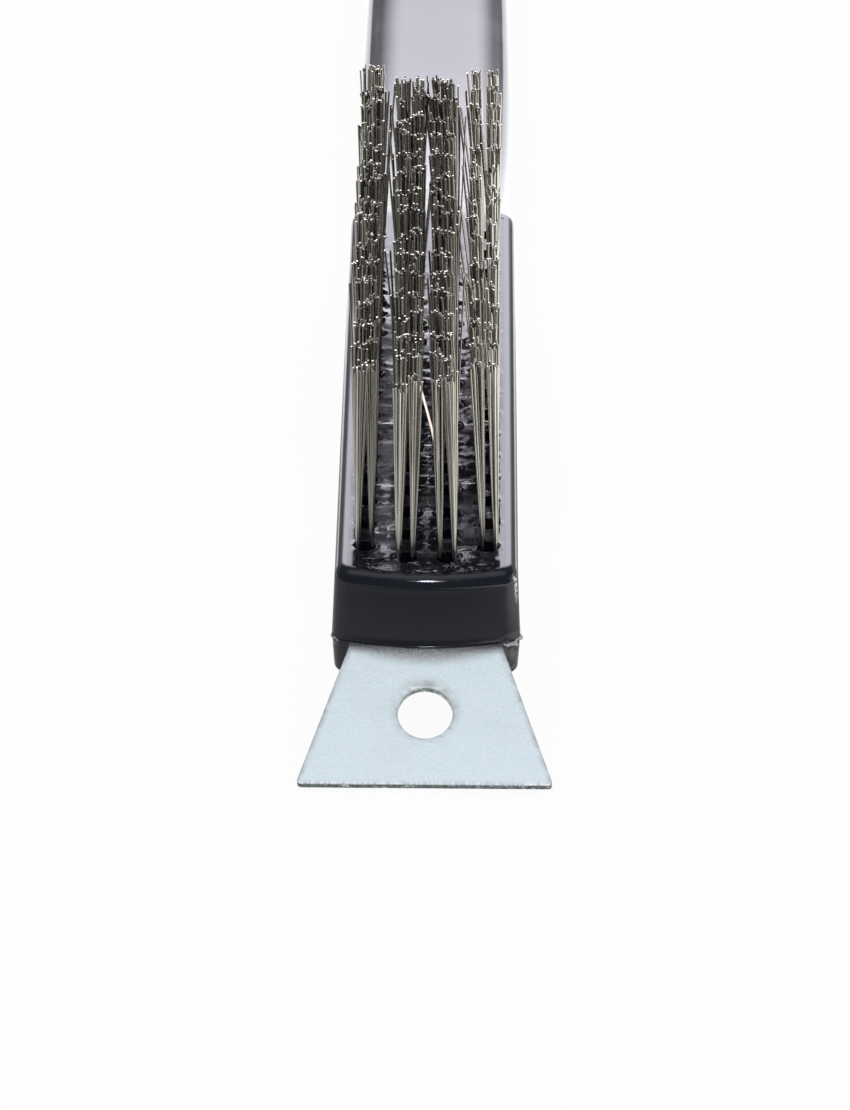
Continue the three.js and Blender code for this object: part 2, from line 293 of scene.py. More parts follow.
def block_outline(side_inset, toe_inset, rear_inset, corner=None, shoulder=None):
    """The block's outline from above, moved inwards, as points that run anticlockwise from the toe."""
    half = BLOCK_HALF_WIDTH - side_inset
    corner = corner or max(0.8, TOE_CORNER_RADIUS - 0.6 * side_inset)
    shoulder = shoulder or SHOULDER_CORNER_RADIUS - side_inset
    corner_x = half - corner
    toe_reach = corner_x + corner * math.sin(TOE_HALF_ANGLE)
    toe_radius = toe_reach / math.sin(TOE_HALF_ANGLE)
    toe_centre = TOE_Y + toe_inset + toe_radius
    corner_y = toe_centre - (toe_radius - corner) * math.cos(TOE_HALF_ANGLE)
    rear_y = SHOULDER_Y - rear_inset
    right = [
        *arc(0, toe_centre, toe_radius, 0, TOE_HALF_ANGLE, 13),
        *arc(corner_x, corner_y, corner, TOE_HALF_ANGLE, math.pi / 2, 15)[1:],
        *[(half, y) for y in np.linspace(corner_y, rear_y - shoulder, 61)[1:]],
        *arc(half - shoulder, rear_y - shoulder, shoulder, math.pi / 2, math.pi, 11)[1:],
        *[(x, rear_y) for x in np.linspace(half - shoulder, 0, 7)[1:]],
    ]
    right = np.array(right)
    return np.concatenate([right, right[1:-1][::-1] * (-1, 1)])


def edge_inset(z, draft, radius):
    """How far the outside has moved inwards at a height: first the draft, then the rounded edge."""
    straight_top = BLOCK_THICKNESS - radius
    if z <= straight_top:
        return draft * (z - PARTING_Z) / (straight_top - PARTING_Z)
    rise = min(z - straight_top, radius)
    return draft + radius - math.sqrt(radius * radius - rise * rise)


def block_levels():
    """(height, side inset, toe inset) up the outside of the block, from its bottom to its top."""
    levels = []
    low = BOTTOM_EDGE_RADIUS
    for a in np.linspace(-math.pi / 2, 0, 6):
        inset = LOWER_DRAFT + low * (1 - math.cos(a))
        levels.append((low + low * math.sin(a), inset, inset))
    for z in np.linspace(low, PARTING_Z - 0.12, 5)[1:]:
        inset = LOWER_DRAFT * (1 - (z - low) / (PARTING_Z - low))
        levels.append((z, inset, inset))
    for above, out in PARTING_LIP:
        levels.append((PARTING_Z + above, 0.0, -out))
    straight = np.linspace(PARTING_Z + 0.3, BLOCK_THICKNESS - TOE_EDGE_RADIUS, 9)
    turning = BLOCK_THICKNESS - TOE_EDGE_RADIUS * (1 - np.sin(np.linspace(0, math.pi / 2, 17)))[1:]
    for z in [*straight, *turning]:
        side = edge_inset(z, UPPER_DRAFT, TOP_EDGE_RADIUS)
        levels.append((z, side, edge_inset(z, TOE_DRAFT, TOE_EDGE_RADIUS)))
    return levels


def block_shell():
    """The outside of the block, with a pocket in its top that the drilled face fills."""
    loops = []
    for z, inset, toe_inset in block_levels():
        rear_inset = min(inset, edge_inset(z, UPPER_DRAFT, REAR_EDGE_RADIUS)) if z > PARTING_Z else inset
        loops.append(at_height(block_outline(inset, toe_inset, rear_inset), z))
    pocket = block_outline(POCKET_INSET, POCKET_TOE_INSET, POCKET_REAR_INSET, *POCKET_CORNER_RADII)
    loops += [at_height(pocket, z) for z in (BLOCK_THICKNESS, POCKET_FLOOR_Z)]
    return loft("handle_shell", loops)


def spline(points):
    """A smooth curve through points, as a function that reads it at any distance."""
    xs, ys = np.array(points, float).T
    slopes = np.gradient(ys, xs)

    def read(x):
        i = int(np.clip(np.searchsorted(xs, x) - 1, 0, len(xs) - 2))
        h = xs[i + 1] - xs[i]
        t = (x - xs[i]) / h
        basis = (2 * t**3 - 3 * t**2 + 1, t**3 - 2 * t**2 + t, 3 * t**2 - 2 * t**3, t**3 - t**2)
        return np.dot(basis, (ys[i], h * slopes[i], ys[i + 1], h * slopes[i + 1]))

    return read


GRIP_LENGTH = HANDLE_HIGH[1] - SHOULDER_Y
GRIP_END_ROUND = 15.0
HANG_HOLE_FROM_END = 14.0
HANG_HOLE_RADIUS = 4.0
HANG_PAD_RADIUS = 7.0
HANG_PAD_DEPTH = 0.8
# The grip's top, bottom and half width at distances behind the shoulder.
grip_top = spline(
    [(-18, 16.2), (2, 16), (12, 14.6), (24, 11), (45, 7.6), (80, 5.6), (120, 5.6), (160, 6.6), (190, 7.2)]
)
grip_bottom = spline(
    [(-18, 1), (2, 0.6), (20, -2.2), (45, -6.6), (80, -9.4), (120, -9.4), (160, -8), (190, -6.8)]
)
grip_half_width = spline(
    [(-18, 13.4), (2, 13.4), (20, 13.5), (45, 13.8), (80, 14.4), (120, 14.4), (160, 13.8), (190, 12.7)]
)


def grip_section(distance, around=56, power=2.6):
    """One rounded cross-section of the grip, drawn in to nothing at the grip's end."""
    past = max(0.0, (distance - (GRIP_LENGTH - GRIP_END_ROUND)) / GRIP_END_ROUND)
    taper = math.sqrt(max(0.0, 1 - past * past))
    top, bottom = grip_top(distance), grip_bottom(distance)
    half_height = (top - bottom) / 2 * (0.45 + 0.55 * taper if taper > 0.02 else taper * 8)
    angles = np.linspace(0, 2 * math.pi, around, endpoint=False)
    c, s = np.cos(angles), np.sin(angles)
    x = np.sign(c) * np.abs(c) ** (2 / power) * grip_half_width(distance) * taper
    z = (top + bottom) / 2 + np.sign(s) * np.abs(s) ** (2 / power) * half_height
    return np.column_stack([x, np.full(around, SHOULDER_Y + distance), z])


def grip():
    straight = np.linspace(-1.6, GRIP_LENGTH - GRIP_END_ROUND, 90)
    rounded = GRIP_LENGTH - GRIP_END_ROUND * (1 - np.sin(np.linspace(0, math.pi / 2, 16)))[1:]
    return loft("grip", [grip_section(d)[::-1] for d in [*straight, *rounded]])


def flash_amount(points):
    """How torn and pale the plastic is round the parting line, strongest at the toe's right corner."""
    x, y, z = points.T
    low = np.clip((PARTING_Z + 0.4 - z) / 0.6, 0, 1)
    right_corner = low * np.clip((x - 11.6) / 1.2, 0, 1) * np.clip((TOE_Y + 7.5 - y) / 2.5, 0, 1)
    near_parting = np.exp(-(((z - PARTING_Z) / 0.8) ** 2))
    left_corner = near_parting * np.clip((-x - 13.6) / 0.8, 0, 1) * np.clip((TOE_Y + 5.5 - y) / 2, 0, 1)
    return np.clip(right_corner + 0.6 * left_corner, 0, 1)


def corner_highlight_amount(points):
    """A painted highlight streak down the toe's right corner, below its top edge."""
    x, y, z = points.T
    around = np.degrees(np.arctan2(y - TOE_Y - 5.0, x - 11.4))
    edge = np.exp(-(((around + 20) / 6) ** 2)) * (x > 12.6)
    height = np.clip((z - 12.3) / 1.5, 0, 1) * np.clip((BLOCK_THICKNESS - 0.7 - z) / 0.5, 0, 1)
    return edge * height


def torn_flash():
    """The thin ragged fin of plastic squeezed out along the parting line at the toe's two corners."""
    outline = block_outline(-0.02, -0.02, -0.02)
    fins = []
    for side, reach, first, count in ((1, 1.1, 0.12, 40), (-1, 0.45, 0.45, 24)):
        chosen = outline[(outline[:, 0] * side > 11) & (outline[:, 1] < TOE_Y + 7)]
        chosen = chosen[np.argsort(chosen[:, 1])]
        distance = np.concatenate([[0], np.cumsum(np.hypot(*np.diff(chosen, axis=0).T))])
        s = np.linspace(distance[-1] * first, distance[-1] * 0.9, count)
        points = np.column_stack([np.interp(s, distance, chosen[:, k]) for k in range(2)])
        outward = points - np.array([side * 9.0, TOE_Y + 8.0])
        outward /= np.linalg.norm(outward, axis=1, keepdims=True)
        fade = np.sin(np.linspace(0, math.pi, count)) ** 0.5
        height = reach * fade * (0.25 + 0.75 * np.abs(fractal(s[:, None], 1.7, 71, 3)) * 2.2)
        droop = 0.5 * fractal(s[:, None], 1.3, 83, 2) - 0.25 * fade
        root, tip = points - outward * 0.5, points + outward * height[:, None]
        corners = [(root, PARTING_Z - 0.07), (root, PARTING_Z + 0.07)]
        corners += [(tip, PARTING_Z + droop + 0.028), (tip, PARTING_Z + droop - 0.028)]
        fins.append(np.stack([at_height(*corner) for corner in corners[::side]], axis=1))
    return loft("toe_flash", *fins)


def handle_body():
    """Block and grip in one, with the hanging hole and the shallow pads round its two ends."""
    body = block_shell()
    boolean(body, grip(), "UNION")
    behind = GRIP_LENGTH - HANG_HOLE_FROM_END
    y = SHOULDER_Y + behind
    top, bottom = grip_top(behind), grip_bottom(behind)
    cutters = [
        ("hang_hole", HANG_HOLE_RADIUS, -40, 40),
        ("top_pad", HANG_PAD_RADIUS, top - HANG_PAD_DEPTH, top + 9),
        ("bottom_pad", HANG_PAD_RADIUS, bottom - 9, bottom + HANG_PAD_DEPTH),
    ]
    for name, radius, low, high in cutters:
        ring = circle(0, y, radius, 64)
        boolean(body, loft(name, [at_height(ring, z) for z in (low, high)]), "DIFFERENCE")
    shade_by_angle(body, 32)
    return body


# ---- Drilled face of the block ----

FACE_STEP = 0.28
FACE_BOTTOM_Z = POCKET_FLOOR_Z + 0.2
FACE_HALF_WIDTH = BLOCK_HALF_WIDTH - POCKET_INSET - 0.004
FACE_FRONT_Y = TOE_Y + POCKET_TOE_INSET + 0.01
FACE_REAR_Y = SHOULDER_Y - POCKET_REAR_INSET - 0.01
FACE_FRONT_BOW = 1.75
FIELD_HALF_WIDTH = 11.2
FIELD_DEPTH = 0.22
FIELD_REAR_Y = SHOULDER_Y - 12.0
FIELD_REAR_FADE = 18.0
RIPPLE_HEIGHT = 0.22
CENTRE_RIPPLE_HEIGHT = 0.08
LIP_HEIGHT = 0.24


def tuft_centre(column, row):
    x = (column - (COLUMNS - 1) / 2) * COLUMN_PITCH
    set_back = ROW_PITCH / 2 if column in (0, COLUMNS - 1) else 0.0
    return x, FIRST_TUFT_Y + row * ROW_PITCH + set_back


def face_grid():
    """A grid over the face, with each point's nearest hole: its centre, distance and direction."""
    columns = int(round(2 * FACE_HALF_WIDTH / FACE_STEP)) + 1
    rows = int(round((FACE_REAR_Y - FACE_FRONT_Y) / FACE_STEP)) + 1
    across = np.linspace(-FACE_HALF_WIDTH, FACE_HALF_WIDTH, columns)
    x, y = np.meshgrid(across, np.linspace(FACE_FRONT_Y, FACE_REAR_Y, rows))
    # The front edge follows the bow of the toe.
    bow = FACE_FRONT_BOW * (x / FACE_HALF_WIDTH) ** 2 * np.clip((FACE_FRONT_Y + 4 - y) / 4, 0, 1)
    y = y + bow
    nearest = np.full(x.shape, 1e9)
    angle = np.zeros(x.shape)
    hole_x, hole_y = x.copy(), y.copy()
    for row, column in np.ndindex(ROWS, COLUMNS):
        tuft_x, tuft_y = tuft_centre(column, row)
        distance = np.hypot(x - tuft_x, y - tuft_y)
        closer = distance < nearest
        nearest = np.where(closer, distance, nearest)
        angle = np.where(closer, np.arctan2(y - tuft_y, x - tuft_x), angle)
        hole_x, hole_y = np.where(closer, tuft_x, hole_x), np.where(closer, tuft_y, hole_y)
    # Points next to a hole's edge are moved onto it, so that the edge is round.
    snap = np.abs(nearest - HOLE_RADIUS) < FACE_STEP * 0.55
    x = np.where(snap, hole_x + HOLE_RADIUS * np.cos(angle), x)
    y = np.where(snap, hole_y + HOLE_RADIUS * np.sin(angle), y)
    nearest = np.where(snap, HOLE_RADIUS, nearest)
    return SimpleNamespace(x=x, y=y, bow=bow, nearest=nearest, angle=angle, hole_x=hole_x, hole_y=hole_y)


def recessed_field(g, plane):
    """1 on the recessed, rippled part of the face, and 0 on the smooth rim round it."""
    wander = 0.12 * value_noise(plane, 0.8, 61)
    field = np.clip((FIELD_HALF_WIDTH + wander - np.abs(g.x)) / 0.3, 0, 1)
    rear = np.clip((FIELD_REAR_Y - g.y) / FIELD_REAR_FADE, 0, 1)
    return field * (rear * np.clip((g.y - g.bow - FACE_FRONT_Y) / 0.8, 0, 1))


def face_ripples(g, plane):
    """Waves across the face, one to a row of tufts, weaker in the middle gap and towards the rear."""
    sway = 1.2 * value_noise(plane * (0.5, 1.0), 0.3, 3)
    centre = np.exp(-((g.x / 2.2) ** 2))
    phase = 2 * math.pi * (g.y - FIRST_TUFT_Y + sway) / ROW_PITCH
    ripple = RIPPLE_HEIGHT * np.cos(phase) * (1 - centre)
    ripple += CENTRE_RIPPLE_HEIGHT * np.cos(2 * phase) * centre
    ripple *= 0.6 + 0.55 * value_noise(plane * (0.4, 1.0), 0.21, 17)
    left_stronger = np.where(g.x < -COLUMN_PITCH / 2, 1.25, 1.0)
    return ripple * (np.clip((TOE_Y + 85 - g.y) / 30, 0.06, 1) * left_stronger)


def face_height(g, plane, field):
    """The height of the face: ripples and burrs on the field, torn lips, and the holes."""
    swell = 0.10 * fractal(plane * (0.3, 1.0), 0.42, 11, 2)
    swell += 0.03 * value_noise(plane * (0.7, 1.0), 0.9, 13)
    burrs = 0.06 * np.clip(fractal(plane, 1.6, 29, 3) - 0.3, 0, 1)
    front_zone = np.clip((TOE_Y + 7.5 - g.y) / 3, 0, 1)
    burrs += front_zone * 0.16 * fractal(plane, 0.9, 47, 3)
    surface = BLOCK_THICKNESS + field * (face_ripples(g, plane) * 0.9 + swell + burrs - FIELD_DEPTH)

    beyond = g.nearest - HOLE_RADIUS
    round_hole = np.stack([np.cos(g.angle) * 2 + g.hole_x, np.sin(g.angle) * 2 + g.hole_y], -1)
    ragged = 0.6 + 0.9 * value_noise(round_hole, 0.9, 5)
    lip = LIP_HEIGHT * ragged * np.exp(-(((beyond - 0.2) / 0.24) ** 2))
    z = surface + np.where(beyond >= 0, lip * (0.35 + 0.65 * field), 0)
    inside = np.clip(-beyond / (FACE_STEP * 1.1), 0, 1)
    hole_bottom = BLOCK_THICKNESS - HOLE_DEPTH + 0.4
    return np.where(beyond < -0.01, z + (hole_bottom - z) * inside, z)


def face_marks(g, plane, field):
    """Where the face is torn, dull or hazed, and where painted shade makes it less reflective."""
    dull = np.clip(1.5 * value_noise(plane, 0.14, 7) - 0.3, 0, 0.5)
    # Painted shade: the middle gap behind the toe and the gap between the third and fourth columns lose
    # most of their reflection and go dark.
    front_patch = np.exp(-((g.x / 2.4) ** 2)) * np.clip((TOE_Y + 25 - g.y) / 3, 0, 1)
    right_patch = np.exp(-(((g.x - COLUMN_PITCH) / 1.9) ** 2) - ((g.y - TOE_Y - 42) / 17) ** 4)
    painted_shade_zone = np.clip(front_patch + right_patch, 0, 1) * (0.85 + 0.15 * value_noise(plane, 0.7, 19))
    left_gap = np.exp(-(((g.x + COLUMN_PITCH) / 2.2) ** 4)) * np.clip((TOE_Y + 80 - g.y) / 20, 0, 1)
    haze = left_gap * (0.65 + 0.35 * value_noise(plane * (0.6, 1.0), 0.55, 23))
    return {"torn": field, "dull": dull * field, "painted_shade_zone": painted_shade_zone * field, "haze": haze * field}


def drilled_face():
    """The top of the block inside its rim: drilled holes, torn lips and a rippled field between them."""
    g = face_grid()
    plane = np.stack([g.x, g.y], axis=-1)
    field = recessed_field(g, plane)
    top = np.stack([g.x, g.y, face_height(g, plane, field)], axis=-1).reshape(-1, 3)
    index = np.arange(len(top)).reshape(g.x.shape)
    corners = [index[:-1, :-1], index[:-1, 1:], index[1:, 1:], index[1:, :-1]]
    faces = np.stack(corners, -1).reshape(-1, 4).tolist()
    rim = np.concatenate([index[0, :-1], index[:-1, -1], index[-1, :0:-1], index[:0:-1, 0]])
    skirt = top[rim].copy()
    skirt[:, 2] = FACE_BOTTOM_Z
    start, count = len(top), len(rim)
    for i in range(count):
        j = (i + 1) % count
        faces.append((rim[i], start + i, start + j, rim[j]))
    faces.append(tuple(range(start + count - 1, start - 1, -1)))
    obj = mesh_object("drilled_face", np.concatenate([top, skirt]), faces)
    shade_by_angle(obj, 50)
    for name, values in face_marks(g, plane, field).items():
        add_attribute(obj, name, np.concatenate([values.reshape(-1), np.zeros(count)]))
    return obj


# ---- Tufts ----

WIRE_RADIUS = 0.168
WIRES_PER_TUFT = 18
WIRE_SIDES = 6
LEG_MOUTH_X = 1.08
LEG_MOUTH_Y = 0.35
LEG_TIP_Y = 0.5
MOUTH_SPREAD = np.array((0.27, 1.0))
TIP_SPREAD = np.array((1.0, 1.3))
FOLD_Z = BLOCK_THICKNESS - HOLE_DEPTH + 1.1
TIP_SCATTER = 0.2
WIRE_BOW = 0.11
WIRE_HOOK = 0.07
HOOK_START = 0.975
STRAY_SHARE_AT_REAR = 0.15
# By column: the sideways lean of the tips at the toe and at the rear, and how far apart the legs end.
LEAN_AT_TOE = (-0.15, 0.1, -1.0, -1.15)
LEAN_AT_REAR = (-0.45, -0.35, -1.5, -1.05)
LEG_TIP_X = (0.85, 1.15, 0.9, 1.35)


def disc_points(count):
    """Points spread over a unit disc, turned and scattered at random, and how far out each one is."""
    k = np.arange(count) + 0.5
    r = np.sqrt(k / count)
    angle = k * math.pi * (3 - math.sqrt(5)) + rng.uniform(0, 2 * math.pi)
    points = np.column_stack([r * np.cos(angle), r * np.sin(angle)]) + rng.normal(0, 0.1, (count, 2))
    return points, r


def leg_paths(column, x, y, side, forward, lean):
    """One leg's wires from the fold to the tips, as (wire, point, xyz), and how far out each one is."""
    count = WIRES_PER_TUFT
    disc, radius = disc_points(count)
    mouth = disc * MOUTH_SPREAD
    mouth_x = LEG_MOUTH_X + rng.normal(0, 0.1)
    tip = disc * TIP_SPREAD + rng.normal(0, TIP_SCATTER, (count, 2))
    tip += (lean + rng.normal(0, 0.12), rng.normal(0, 0.35))
    back = (y - FIRST_TUFT_Y) / (ROWS * ROW_PITCH)
    strays = rng.random(count) < STRAY_SHARE_AT_REAR * back
    away = rng.choice((-1.0, 1.0), count) * rng.uniform(0.8, 2.7 - 0.6 * back, count)
    # A wire strays freely into a gap, but only a little past the outer columns.
    outward = (away * x > 0) & (column in (0, COLUMNS - 1))
    tip[:, 0] += np.where(strays, np.where(outward, 0.35 * away, away), 0)
    mouth += (x + side * mouth_x, y - forward * LEG_MOUTH_Y)
    tip += (x + side * (LEG_TIP_X[column] + 0.2 * back), y - forward * LEG_TIP_Y)
    height = TIP_Z - 0.6 + rng.normal(0, 0.45) + rng.normal(0, 0.45, count).clip(-1.6, 0.85)
    bow = rng.normal(0, WIRE_BOW, (count, 2))
    hook = rng.normal(0, WIRE_HOOK, (count, 2))
    foot_x = x + side * 0.45 + (mouth[:, 0] - x) * 0.1
    points = [
        np.column_stack([foot_x, mouth[:, 1], np.full(count, FOLD_Z)]),
        at_height(mouth - (side * 0.1, 0), FOLD_Z + 1.2),
        at_height(mouth, BLOCK_THICKNESS),
    ]
    for t in (0.25, 0.5, 0.75, HOOK_START, 0.993, 1.0):
        hooked = max(0.0, (t - HOOK_START) / (1 - HOOK_START)) ** 1.5
        flat = mouth + (tip - mouth) * t + bow * math.sin(math.pi * t) + hook * hooked
        points.append(at_height(flat, BLOCK_THICKNESS + (height - BLOCK_THICKNESS) * t))
    return np.stack(points, axis=1), radius


def tuft_paths(column, row, x, y):
    """Each wire goes down one leg, round the fold and up the other. Also how far out each one is."""
    outward = 1 if x > 0 else -1
    back = row / (ROWS - 1)
    lean = LEAN_AT_TOE[column] * (1 - back) + LEAN_AT_REAR[column] * back + rng.normal(0, 0.15)
    left, radius = leg_paths(column, x, y, -1, -outward, lean)
    right, _ = leg_paths(column, x, y, 1, outward, lean)
    fold = (left[:, 0] + right[:, 0]) / 2
    fold[:, 2] = FOLD_Z - 0.45
    return np.concatenate([left[:, ::-1], fold[:, None], right], axis=1), radius


def sweep(paths, radii, sides):
    """The rings of round bars along many paths at once, as (bar, ring, point, xyz)."""
    tangents = np.gradient(paths, axis=1)
    tangents /= np.linalg.norm(tangents, axis=2, keepdims=True)
    normal = np.cross(tangents[:, 0], (0.0, 1.0, 0.02))
    rings = []
    for k, radius in enumerate(radii):
        tangent = tangents[:, k]
        normal = normal - (normal * tangent).sum(1, keepdims=True) * tangent
        normal /= np.linalg.norm(normal, axis=1, keepdims=True)
        side = np.cross(tangent, normal)
        ring = [normal * c + side * s for c, s in circle(0, 0, 1, sides)]
        rings.append(paths[:, k, None] + np.stack(ring, axis=1) * radius)
    return np.stack(rings, axis=1)


def shear_tips(rings):
    """Cuts each wire's end at a slant and leaves a small burr on it."""
    for end in (0, -1):
        count = len(rings)
        centre = rings[:, end].mean(axis=1, keepdims=True)
        offset = rings[:, end] - centre
        slope = rng.normal(0, 0.24, (count, 1, 2))
        rings[:, end, :, 2] += (offset[:, :, :2] * slope).sum(2)
        burr = 1 + rng.uniform(-0.1, 0.16, (count, 1, 1))
        rings[:, end, :, :2] = centre[:, :, :2] + offset[:, :, :2] * burr


def bristle_row(row):
    """The four tufts at one station, as one object."""
    wires, painted_shades_and_tones = [], []
    for column in range(COLUMNS):
        paths, exposure = tuft_paths(column, row, *tuft_centre(column, row))
        rings = sweep(paths, np.full(paths.shape[1], WIRE_RADIUS), WIRE_SIDES)
        shear_tips(rings)
        # Painted light: the front row and the right column are painted brighter, as if they stand in the
        # light; wires deep inside a leg are painted darker as shade, and the rest is random tone.
        painted_light = (1.0 if row == 0 else 0.6) + (0.35 if column == COLUMNS - 1 else 0)
        painted_shade_and_tone = np.clip((exposure - 0.35) / 0.4, 0, 1) * rng.uniform(0.35, 1, len(rings)) * painted_light
        painted_shades_and_tones.append(np.repeat(painted_shade_and_tone, rings[0].size // 3))
        wires += list(rings)
    obj = loft(f"tufts_{row + 1:02d}", *wires)
    add_attribute(obj, "painted_shade_and_tone", np.concatenate(painted_shades_and_tones))
    return obj


def mark_cut_ends(obj):
    """Gives the sheared ends of the wires the second material, flat."""
    ends = [len(polygon.vertices) == WIRE_SIDES for polygon in obj.data.polygons]
    obj.data.polygons.foreach_set("material_index", [int(end) for end in ends])
    obj.data.polygons.foreach_set("use_smooth", [not end for end in ends])


def bright_stray():
    """One wire that leans out of the third column's second tuft, across the middle gap, lit by a painted
    glint.
    """
    x, y = tuft_centre(2, 1)
    low = np.array((x - 1.1, y - 0.3, BLOCK_THICKNESS - 1.5))
    high = np.array((-1.25, y - 1.2, BLOCK_THICKNESS + 26.8))
    steps = np.linspace(0, 1, 9)
    path = low + (high - low) * steps[:, None]
    path[:, 0] += 1.32 * np.sin(math.pi * steps)
    return loft("stray_wire", *sweep(path[None], np.full(len(steps), WIRE_RADIUS * 1.15), 8))


def curl(x, y, heading, length, bend, wobble, points=16):
    """A thin thread that lies on the drilled face, from (x, y), turning as it goes."""
    angles = heading + np.linspace(0, bend, points) + wobble * np.cumsum(rng.normal(0, 1, points))
    steps = np.column_stack([np.cos(angles), np.sin(angles)]) * (length / (points - 1))
    arch = 0.10 * np.sin(np.linspace(0, math.pi, points)) * rng.uniform(0.2, 2.2)
    return np.column_stack([(x, y) + np.cumsum(steps, axis=0), BLOCK_THICKNESS - 0.08 + arch])


def drill_burrs():
    """Threads and curls left by the drill: round the first tufts, down the gaps and at the rim."""
    paths = []

    def scatter(xs, from_toe, headings, lengths, bend, wobble, bow=0.0):
        for x in xs:
            y = TOE_Y + rng.uniform(*from_toe) + bow * (x / 11) ** 2
            heading = rng.uniform(*headings)
            paths.append(curl(x, y, heading, rng.uniform(*lengths), rng.normal(0, bend), wobble))

    scatter(rng.uniform(-10.3, 10.3, 18), (4.35, 7.05), (0, 6.3), (0.9, 2.6), 2.4, 0.12, 1.3)
    scatter(rng.normal(6.0, 0.9, 5), (5.0, 8.0), (0.5, 2.2), (2.5, 4.5), 2.0, 0.2)
    for x in rng.normal(-6.3, 0.5, 8):
        y = rng.uniform(FIRST_TUFT_Y + 2, FIRST_TUFT_Y + 52)
        paths.append(curl(x, y, math.pi / 2 + rng.normal(0, 0.2), rng.uniform(4, 9), 0.0, 0.33))
    for middle in (0.0, COLUMN_PITCH):
        scatter(rng.normal(middle, 0.9, 5), (7.4, 48.4), (0, 6.3), (0.8, 2.4), 2.0, 0.15)
    for row in range(ROWS):
        x, y = tuft_centre(COLUMNS - 1, row)
        for _ in range(2):
            start = x + HOLE_RADIUS - rng.uniform(-0.15, 0.25), y + rng.uniform(-0.8, 0.8)
            heading, length = rng.uniform(-1.5, 1.5), rng.uniform(0.3, 0.9)
            paths.append(curl(*start, heading, length, rng.normal(0, 2.0), 0.1))
    paths = np.stack(paths)
    radii = 0.045 * np.sin(np.linspace(0.25, math.pi - 0.25, paths.shape[1]))
    return loft("drill_burrs", *sweep(paths, radii, 5))


# ---- Scraper ----

PLATE = 1.6
BLADE_TILT = math.radians(37.5)
BEND_RADIUS = 3.0
PLATE_MID_Z = 5.5
BEND_START_Y = TOE_Y + 1.4
BLADE_LENGTH = 24.6
TANG_LENGTH = 16.0
TANG_HALF = 10.5
NECK_HALF = 11.95
EDGE_HALF = SCRAPER_HIGH[0]
HOLE_FROM_BEND = 12.2
BLADE_HOLE_RADIUS = 4.35
TANG_HOLE_RADIUS = 2.0
TANG_HOLE_HALF_SPACING = 5.5
PLATE_EDGE_BEVEL = 0.14
# The toe's bow over the scraper: how far it curves back at this distance from the middle.
TOE_BOW, TOE_BOW_X = 1.7, 11.6


def fillet(points, steps=6):
    """A closed outline through (x, y, radius) corners, each rounded by its own radius."""
    out = []
    corners, radii = np.array(points)[:, :2], np.array(points)[:, 2]
    befores, afters = np.roll(corners, 1, axis=0), np.roll(corners, -1, axis=0)
    for before, corner, after, radius in zip(befores, corners, afters, radii):
        to_before = (before - corner) / np.linalg.norm(before - corner)
        to_after = (after - corner) / np.linalg.norm(after - corner)
        reach = radius / math.tan(math.acos(np.clip(to_before @ to_after, -1, 1)) / 2)
        start, end = corner + to_before * reach, corner + to_after * reach
        for t in np.linspace(0, 1, steps):
            out.append((1 - t) ** 2 * start + 2 * t * (1 - t) * corner + t**2 * end)
    return out


def plate_line(s):
    """Middle line of the bent plate, s outwards from the start of the bend: y, z, angle."""
    angle = np.clip(s / BEND_RADIUS, 0, BLADE_TILT)
    straight = np.maximum(0, s - BEND_RADIUS * BLADE_TILT)
    y = BEND_START_Y - BEND_RADIUS * np.sin(angle) - straight * np.cos(angle) - np.minimum(0, s)
    z = PLATE_MID_Z - BEND_RADIUS * (1 - np.cos(angle)) - straight * np.sin(angle)
    return y, z, angle


def scraper_outline():
    """The flat pattern: x across, s along the plate outwards."""
    right = [
        (TANG_HALF, -TANG_LENGTH, 1.0),
        (TANG_HALF, -3.0, 0.2),
        (NECK_HALF, -2.4, 0.2),
        (NECK_HALF + 0.25, 0.8, 1.0),
        (EDGE_HALF, BLADE_LENGTH - 0.1, 0.7),
    ]
    return fillet(right + [(-x, s, radius) for x, s, radius in reversed(right)])


def flat_plate():
    """The scraper before it is bent, as a mesh with eased edges."""
    curve = bpy.data.curves.new("scraper_outline", "CURVE")
    curve.dimensions = "2D"
    curve.fill_mode = "BOTH"
    loops = [scraper_outline(), circle(0, HOLE_FROM_BEND, BLADE_HOLE_RADIUS, 72)[::-1]]
    for x in (-TANG_HOLE_HALF_SPACING, TANG_HOLE_HALF_SPACING):
        loops.append(circle(x, -TANG_LENGTH * 0.6, TANG_HOLE_RADIUS, 32)[::-1])
    for loop in loops:
        outline = curve.splines.new("POLY")
        outline.points.add(len(loop) - 1)
        for point, (x, s) in zip(outline.points, loop):
            point.co = (x, s, 0, 1)
        outline.use_cyclic_u = True
    curve.extrude = PLATE / 2 - PLATE_EDGE_BEVEL
    curve.bevel_depth = PLATE_EDGE_BEVEL
    curve.bevel_resolution = 1
    curve.offset = -PLATE_EDGE_BEVEL
    holder = new_object("scraper_outline", curve)
    bpy.context.view_layer.update()
    mesh = evaluated_mesh(holder)
    bpy.data.objects.remove(holder)
    return mesh


def bend_plate(mesh):
    """Cuts the plate across at stations, tells its sheared sides from its faces, and bends it."""
    bm = bmesh.new()
    bm.from_mesh(mesh)
    bmesh.ops.remove_doubles(bm, verts=bm.verts, dist=1e-4)
    for s in [*np.linspace(0, BEND_RADIUS * BLADE_TILT, 9), *np.linspace(3, 24, 15)]:
        geometry = bm.verts[:] + bm.edges[:] + bm.faces[:]
        bmesh.ops.bisect_plane(bm, geom=geometry, plane_co=(0, s, 0), plane_no=(0, 1, 0))
    bm.normal_update()
    for polygon in bm.faces:
        polygon.material_index = int(abs(polygon.normal.z) < 0.35)
    for vertex in bm.verts:
        x, s, offset = vertex.co
        y, z, angle = plate_line(s)
        vertex.co = (x, y - offset * math.sin(angle), z + offset * math.cos(angle))
    bmesh.ops.recalc_face_normals(bm, faces=bm.faces)
    bm.to_mesh(mesh)
    bm.free()
    mesh.transform(Matrix.Scale(MM, 4))


